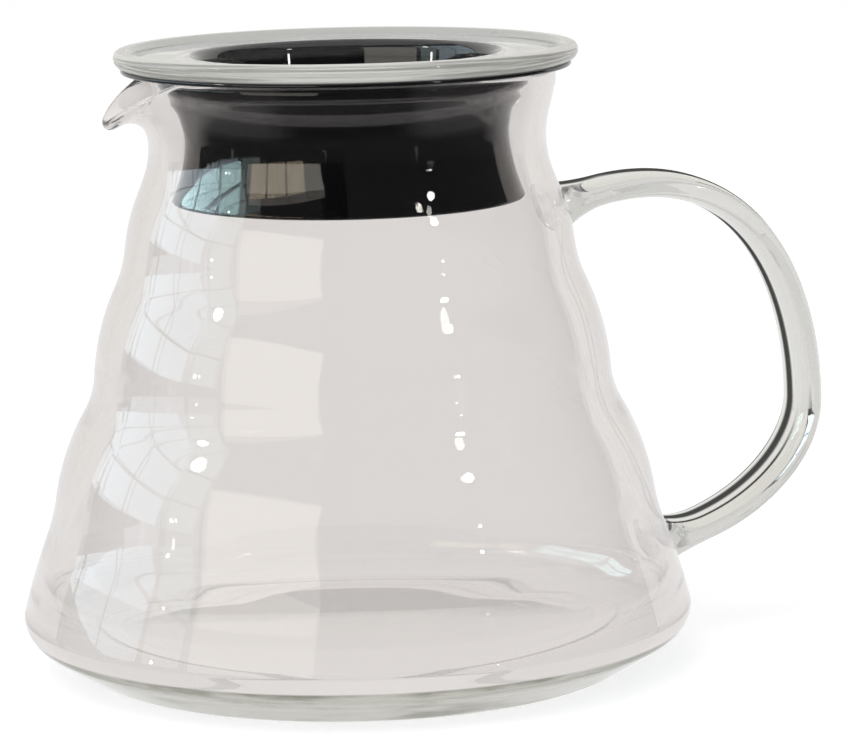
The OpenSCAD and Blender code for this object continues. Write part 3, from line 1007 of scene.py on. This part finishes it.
@dataclass
class Lid:
    """The lid: a pressed glass disc with a hanging well, and the black sleeve that it stands in.

    The rounds are shares of the disc's thickness at its two edges, of the raised edge and of the
    well's depth, and air is what the disc keeps over the flange.
    """

    jug: Jug
    seat_gap: float = 0.1
    disc_over: float = 4.3
    disc_t: float = 3.5
    edge_step: float = 1.3
    edge_w: float = 2.6
    well_gap: float = 0.9
    well_taper: float = 2.6
    well_depth: float = 19.9
    well_wall: float = 2.2
    rounds: tuple[float, ...] = (0.38, 0.58, 0.6, 0.25)
    sleeve_t: float = 0.9
    flange_in: float = 1.3
    collar_gap: float = 1.6
    collar_h: float = 3.0
    waist_in: float = 5.5
    sleeve_waist_d: float = 10.4
    flare_draw: float = 1.2
    skirt_draw: float = 0.7
    skirt_gap: float = 1.7
    skirt_d: float = 25.2
    sleeve_soft: float = 3.6
    air: float = 0.05
    step: float = 0.6
    round_steps: int = 14
    edge_steps: int = 10
    sectors: int = 256
    glass: ClearGlass = PRESSED
    black: GlossPlastic = BLACK

    @property
    def disc_r(self) -> float:
        """Radius of the disc, a little beyond the jug's lip."""
        return self.jug.rim_r + self.disc_over

    @property
    def collar_r(self) -> float:
        """Outer radius of the sleeve's upright collar, inside the jug's lip."""
        return self.jug.rim_r - self.jug.wall - self.collar_gap

    @property
    def sleeve_waist(self) -> Array:
        """The sleeve's waist, [radius, height]."""
        return np.array([self.collar_r - self.waist_in, self.jug.rim_z - self.sleeve_waist_d])

    @property
    def disc_z(self) -> float:
        """Height of the disc's underside."""
        return self.jug.rim_z + self.seat_gap + self.sleeve_t

    def glass_line(self) -> Array:
        """The glass's line: well floor, well, flat ring, raised edge, underside, well outside and base.

        Returns:
            Points [radius, height] from the axis above to the axis below.
        """
        low, top = self.disc_z - self.well_depth, self.disc_z + self.disc_t
        ring = top - self.edge_step
        slope = self.well_taper / (ring - low)
        mouth = self.sleeve_waist[0] - self.sleeve_t - self.well_gap - self.well_wall
        mouth += (ring - self.sleeve_waist[1]) * slope
        base = low - self.well_wall
        under = self.disc_z + self.air
        edge, low_edge = self.disc_t * self.rounds[0], self.disc_t * self.rounds[1]
        step, floor = self.edge_step * self.rounds[2], self.well_depth * self.rounds[3]
        inside = self.disc_r - self.edge_w
        corners = [
            (POLE_R, low, 0.0), (mouth - (ring - low) * slope, low, floor), (mouth, ring, self.well_wall),
            (inside - self.edge_step, ring, step), (inside, top, step), (self.disc_r, top, edge),
            (self.disc_r, under, low_edge),
            (mouth - (ring - under) * slope + self.well_wall, under, self.well_wall),
            (mouth - (ring - base) * slope + self.well_wall, base, floor + self.well_wall / 2),
            (POLE_R, base, 0.0)]
        return filled(rounded(corners, self.round_steps), self.step)

    def build_glass(self) -> Object:
        """Turns the glass's line about the axis, closed by a point above and one below.

        Returns:
            The finished piece.
        """
        line = self.glass_line()
        grid = turned(line[::-1], self.sectors)
        poles = (np.array([0, 0, line[-1, 1]]), np.array([0, 0, line[0, 1]]))
        return grid_object("lid_disc_and_well", grid, poles)

    def build_sleeve(self) -> Object:
        """Turns a sheet's line about the axis: skirt, waist, collar and flange, both edges half round.

        Returns:
            The finished piece.
        """
        flange_z = self.jug.rim_z + self.seat_gap
        skirt_r = self.jug.rim_r - self.jug.wall - self.jug.waist_draw - self.skirt_gap
        skirt = np.array([skirt_r, self.jug.rim_z - self.skirt_d + self.sleeve_t / 2])
        collar = np.array([self.collar_r, self.jug.rim_z - self.collar_h])
        turn_out = np.array([self.collar_r, flange_z])
        edge = np.array([self.disc_r - self.flange_in - self.sleeve_t / 2, flange_z])
        stops = [skirt, self.sleeve_waist, collar, turn_out, edge]
        line = arcs(stops, (-self.skirt_draw, -self.flare_draw, 0.0, 0.0), self.step)
        line = soften(line, self.sleeve_soft, self.step)
        side = side_normals(line)
        ahead = np.stack([-side[:, 1], side[:, 0]], axis=1)
        inner = line - side * self.sleeve_t
        ring = np.vstack([
            line, half_round(line[-1], side[-1], ahead[-1], self.sleeve_t, self.edge_steps), inner[::-1],
            half_round(inner[0], -side[0], -ahead[0], self.sleeve_t, self.edge_steps)])
        return grid_object("lid_sleeve_black", turned(ring, self.sectors))


# The studio


class Seen(Enum):
    """Paths of light that a surface shows to: fewest and most reflections, fewest and most refractions."""

    ONCE = (1, 1, 0, 4)
    OFTEN = (1, 9, 0, MANY)
    ON_THE_WALL = (1, 1, 0, 3)
    BEHIND_GLASS = (1, 1, 4, 4)

    def mask(self, graph: Graph) -> Socket:
        """1 for the paths that count, and 0 for the others."""
        path = graph.add("LightPath").outputs
        fewest, most, least, highest = self.value
        return graph.times(graph.between(path["Glossy Depth"], fewest, most),
                           graph.between(path["Transmission Depth"], least, highest))


@dataclass(frozen=True)
class Card:
    """A glowing or dark card, one pane or more, that fills a range of azimuths and elevations."""

    name: str
    azimuths: Pair
    elevations: Pair
    distance: float
    colour: Colour
    seen: Seen = Seen.ONCE
    panes: tuple[int, int] = (1, 1)
    bar: float = 0.0
    sides: int = 4

    def build(self, centre: Array) -> Object:
        """Places a flat grid of panes square to the line from the centre.

        Its size is 2 distance tan(range / 2). Four sides make each pane fill its cell but for the bar,
        and more sides make it round.

        Args:
            centre: Point that the card faces, in metres.

        Returns:
            The card, unseen by camera, diffuse and shadow rays.
        """
        azimuth, elevation = (math.radians(sum(pair) / 2) for pair in (self.azimuths, self.elevations))
        size = np.array([2 * self.distance * math.tan(math.radians(pair[1] - pair[0]) / 2)
                         for pair in (self.azimuths, self.elevations)])
        away = np.array([math.sin(azimuth) * math.cos(elevation), -math.cos(azimuth) * math.cos(elevation),
                         math.sin(elevation)])
        right = np.array([math.cos(azimuth), math.sin(azimuth), 0.0])
        up = np.cross(away, -right)
        cell = size / self.panes
        place = np.stack(np.meshgrid(*map(np.arange, self.panes)), axis=-1).reshape(-1, 1, 2) * cell
        half = (cell - self.bar) / 2
        turn = 2 * np.pi * (np.arange(self.sides) + 0.5) / self.sides
        outline = circle(turn) / (math.cos(math.pi / 4) if self.sides == 4 else 1.0)
        flat = place - size / 2 + half * (1 + outline)
        verts = centre + away * self.distance + flat.reshape(-1, 2) @ np.stack([right, up])
        faces = np.arange(len(verts)).reshape(-1, self.sides).tolist()
        card = mesh_object(self.name, verts, faces)
        card.data.materials.append(new_material(self.name, self.surface))
        card.visible_camera = card.visible_diffuse = card.visible_shadow = False
        return card

    def surface(self, graph: Graph) -> Socket:
        """A plain glow for the paths that the card shows to, and nothing at all for the others."""
        clear = graph.add("BsdfTransparent").outputs["BSDF"]
        return graph.cover(self.seen.mask(graph), clear, graph.glow(self.colour))


@dataclass(frozen=True)
class Floor:
    """A wide pale floor that keeps the object's shadow and glows a little where the background shows.

    In reflections it has levels of its own: by the angle from the camera's side it is dark in front, grey
    at the sides and pale behind, far away it is dark but for the part behind, and right under the object
    it is pale. Sizes and distances are in metres, and turns are shares of a half turn.
    """

    size: float = 30.0
    colour: float = 0.8
    glow: float = 0.45
    front_azimuth: float = -13.0
    through_glass: float = 0.95
    front: float = 0.03
    side: float = 0.27
    back: float = 0.9
    far: float = 0.07
    side_turns: Pair = (0.19, 0.26)
    back_turns: Pair = (0.6, 0.72)
    foot_fade: Pair = (0.085, 0.105)
    far_fade: Pair = (0.25, 0.32)

    def build(self) -> Object:
        """Makes the floor, one square.

        Returns:
            The floor.
        """
        corners = np.array([(-1, -1, 0), (1, -1, 0), (1, 1, 0), (-1, 1, 0)]) * self.size / 2
        floor = mesh_object("floor", corners, [[0, 1, 2, 3]])
        floor.data.materials.append(new_material("pale_floor", self.surface))
        return floor

    def surface(self, graph: Graph) -> Socket:
        """Builds the shader: paint and glow, a plain level through glass, and other levels in reflections.

        Args:
            graph: Graph of the floor's material.

        Returns:
            The shader's socket.
        """
        path = graph.add("LightPath").outputs
        paint = graph.add("BsdfDiffuse", {"Color": (self.colour,) * 3}).outputs["BSDF"]
        lift = graph.calc("MULTIPLY", graph.between(path["Diffuse Depth"], 0, 0), self.glow)
        plain = graph.add("AddShader", {0: paint, 1: graph.glow(WHITE, lift)}).outputs["Shader"]
        refracted = graph.between(path["Transmission Depth"], 1, MANY)
        plain = graph.cover(refracted, plain, graph.glow(WHITE, self.through_glass))
        return graph.cover(Seen.ONCE.mask(graph), plain, graph.glow(self.reflected(graph)))

    def reflected(self, graph: Graph) -> Socket:
        """The floor's level in reflections.

        Args:
            graph: Graph of the floor's material.

        Returns:
            The socket with the level.
        """
        place = graph.add("TexCoord").outputs["Object"]
        spin = (0.0, 0.0, math.pi / 2 - math.radians(self.front_azimuth))
        facing = graph.add("Mapping", {"Vector": place, "Rotation": spin}).outputs["Vector"]
        axes = graph.add("SeparateXYZ", {"Vector": facing}).outputs
        angle = graph.calc("ABSOLUTE", graph.calc("ARCTAN2", axes["Y"], axes["X"]))
        share = graph.calc("DIVIDE", angle, math.pi)
        distance = graph.vector("LENGTH", place)
        (front, side), (turning, behind) = self.side_turns, self.back_turns
        near = graph.ramp(
            share, ((front, self.front), (side, self.side), (turning, self.side), (behind, self.back)))
        far = graph.ramp(share, ((turning, self.far), (behind, self.back)))
        far_away, beside = (graph.ramp(distance, ((fade[0], 0.0), (fade[1], 1.0)))
                            for fade in (self.far_fade, self.foot_fade))
        return graph.blend(beside, (self.back,) * 3, graph.blend(far_away, near, far))


ROOM = (0.05, 0.05, 0.052)
LAMP = (30.0, 30.0, 29.0)
ROOM_HEIGHT, WINDOW_HEIGHT = (-8.0, 50.0), (4.0, 40.0)
CARDS = (
    Card("room_far_left", (-138.0, -100.0), ROOM_HEIGHT, 3.2, ROOM),
    Card("room_left", (-100.0, -28.5), ROOM_HEIGHT, 3.2, ROOM),
    Card("room_gap", (-28.3, -15.0), ROOM_HEIGHT, 2.9, (0.01, 0.01, 0.013)),
    Card("room_front", (-28.5, 35.0), ROOM_HEIGHT, 3.0, ROOM),
    Card("room_right", (35.0, 110.0), ROOM_HEIGHT, 3.0, ROOM),
    Card("room_back", (110.0, 222.0), ROOM_HEIGHT, 3.4, (0.9, 0.89, 0.86)),
    Card("window_edge", (-137.0, -131.0), WINDOW_HEIGHT, 2.0, (1.4, 1.65, 1.8), panes=(1, 3), bar=0.02),
    Card("window_left", (-130.6, -92.5), WINDOW_HEIGHT, 2.0, (1.5, 1.85, 2.1), panes=(2, 3), bar=0.03),
    Card("window_right", (-91.0, -75.0), WINDOW_HEIGHT, 2.0, (0.95, 1.2, 1.2), panes=(1, 3), bar=0.03),
    Card("warm_wall", (-72.0, -28.5), (0.0, 27.0), 2.0, (1.6, 1.55, 1.4), Seen.ON_THE_WALL),
    Card("window_deep", (-150.0, -90.0), (5.0, 28.0), 1.8, (4.2, 6.4, 6.6), Seen.BEHIND_GLASS, (3, 2), 0.06),
    Card("warm_deep", (-82.0, -43.0), (7.0, 24.0), 1.8, (2.9, 2.5, 1.8), Seen.BEHIND_GLASS, (3, 1), 0.04),
    Card("lamp_left", (-88.0, -83.0), (29.0, 34.0), 1.6, LAMP, Seen.OFTEN, sides=16),
    Card("lamp_right", (33.5, 37.7), (27.5, 31.7), 1.6, LAMP, Seen.OFTEN, sides=16),
    Card("lamp_far_left", (-87.1, -85.5), (7.2, 8.8), 1.6, LAMP, Seen.ON_THE_WALL, sides=16),
    Card("lamp_far_right", (33.0, 34.6), (8.7, 10.3), 1.6, LAMP, Seen.ON_THE_WALL, sides=16),
)


@dataclass
class Studio:
    """Camera, floor, world, lamp and cards.

    The camera's places are in mm, the lamp's and the cards' centre in metres.
    """

    eye: Place = (-180.0, -779.5, 186.6)
    target: Place = (13.35, -3.08, 56.2)
    roll: float = -1.15
    lens: float = 177.66
    sensor: float = 36.0
    clip_end: float = 100.0
    sky: float = 0.6
    sky_by_glass: float = 0.8
    lamp_place: Place = (-0.9, -0.7, 1.9)
    lamp_size: float = 1.6
    lamp_watts: float = 18.0
    cards_centre: Place = (0.0, 0.0, 0.06)
    ground: Floor = Floor()
    cards: tuple[Card, ...] = CARDS

    def camera(self) -> None:
        """Puts the camera at the photograph's place: it looks from eye to target and is rolled a little."""
        data = bpy.data.cameras.new("photo_camera")
        data.sensor_fit = "HORIZONTAL"
        data.sensor_width = self.sensor
        data.lens = self.lens
        data.clip_end = self.clip_end
        eye, target = Vector(self.eye) * MM, Vector(self.target) * MM
        ahead = (target - eye).normalized()
        right = ahead.cross(Vector((0, 0, 1))).normalized()
        up = right.cross(ahead)
        turn = math.radians(self.roll)
        right, up = right * math.cos(turn) + up * math.sin(turn), up * math.cos(turn) - right * math.sin(turn)
        camera = bpy.data.objects.new("photo_camera", data)
        camera.matrix_world = Matrix.Translation(eye) @ Matrix((right, up, -ahead)).transposed().to_4x4()
        bpy.context.scene.collection.objects.link(camera)
        bpy.context.scene.camera = camera

    def world(self) -> None:
        """White for camera rays, one level for rays off and through glass, and one for light on surfaces."""
        world = bpy.data.worlds.new("studio")
        world.use_nodes = True
        world.node_tree.nodes.clear()
        graph = Graph(world.node_tree)
        path = graph.add("LightPath").outputs
        by_glass = graph.calc("MAXIMUM", path["Is Glossy Ray"], path["Is Transmission Ray"])
        level = graph.scaled(by_glass, self.sky, self.sky_by_glass)
        strength = graph.calc("MAXIMUM", path["Is Camera Ray"], level)
        back = graph.add("Background", {"Color": WHITE, "Strength": strength})
        graph.add("OutputWorld", {"Surface": back.outputs["Background"]})
        bpy.context.scene.world = world

    def lamp(self) -> None:
        """One wide soft lamp overhead to the left; it isn't seen in reflections."""
        data = bpy.data.lights.new("soft_lamp", "AREA")
        data.shape = "DISK"
        data.size = self.lamp_size
        data.energy = self.lamp_watts
        lamp = bpy.data.objects.new("soft_lamp", data)
        lamp.location = self.lamp_place
        lamp.rotation_euler = (-Vector(lamp.location)).to_track_quat("-Z", "Y").to_euler()
        lamp.visible_glossy = lamp.visible_transmission = lamp.visible_camera = False
        bpy.context.scene.collection.objects.link(lamp)

    def build(self) -> None:
        """Sets up everything round the object."""
        bpy.context.scene.view_settings.view_transform = "Standard"
        self.camera()
        self.ground.build()
        self.world()
        self.lamp()
        for card in self.cards:
            card.build(np.array(self.cards_centre))


def dress(piece: Object, body: str, node: str, finish: ClearGlass | GlossPlastic) -> None:
    """Gives a piece its finish, its body and the CAD node that it stands for, and reports it.

    Args:
        piece: The new object.
        body: Moving body that it rides on.
        node: CAD node that it replaces.
        finish: Its finish.
    """
    piece.data.materials.append(new_material(finish.slot, finish.surface))
    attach(piece, body)
    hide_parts(node)
    mesh = piece.data
    log.info("%s: %d vertices, %d faces, %s", piece.name, len(mesh.vertices), len(mesh.polygons), finish.slot)


def main() -> None:
    """Builds the studio and the four pieces in order."""
    logging.basicConfig(level=logging.INFO, format="%(message)s")
    Studio().build()
    jug = Jug()
    dress(jug.build(), "server", "server_body", jug.finish)
    handle = Handle(jug)
    dress(handle.build(), "server", "handle", handle.finish)
    lid = Lid(jug)
    dress(lid.build_glass(), "lid", "lid_glass", lid.glass)
    dress(lid.build_sleeve(), "lid", "lid_sleeve", lid.black)


if __name__ == "__main__":
    main()
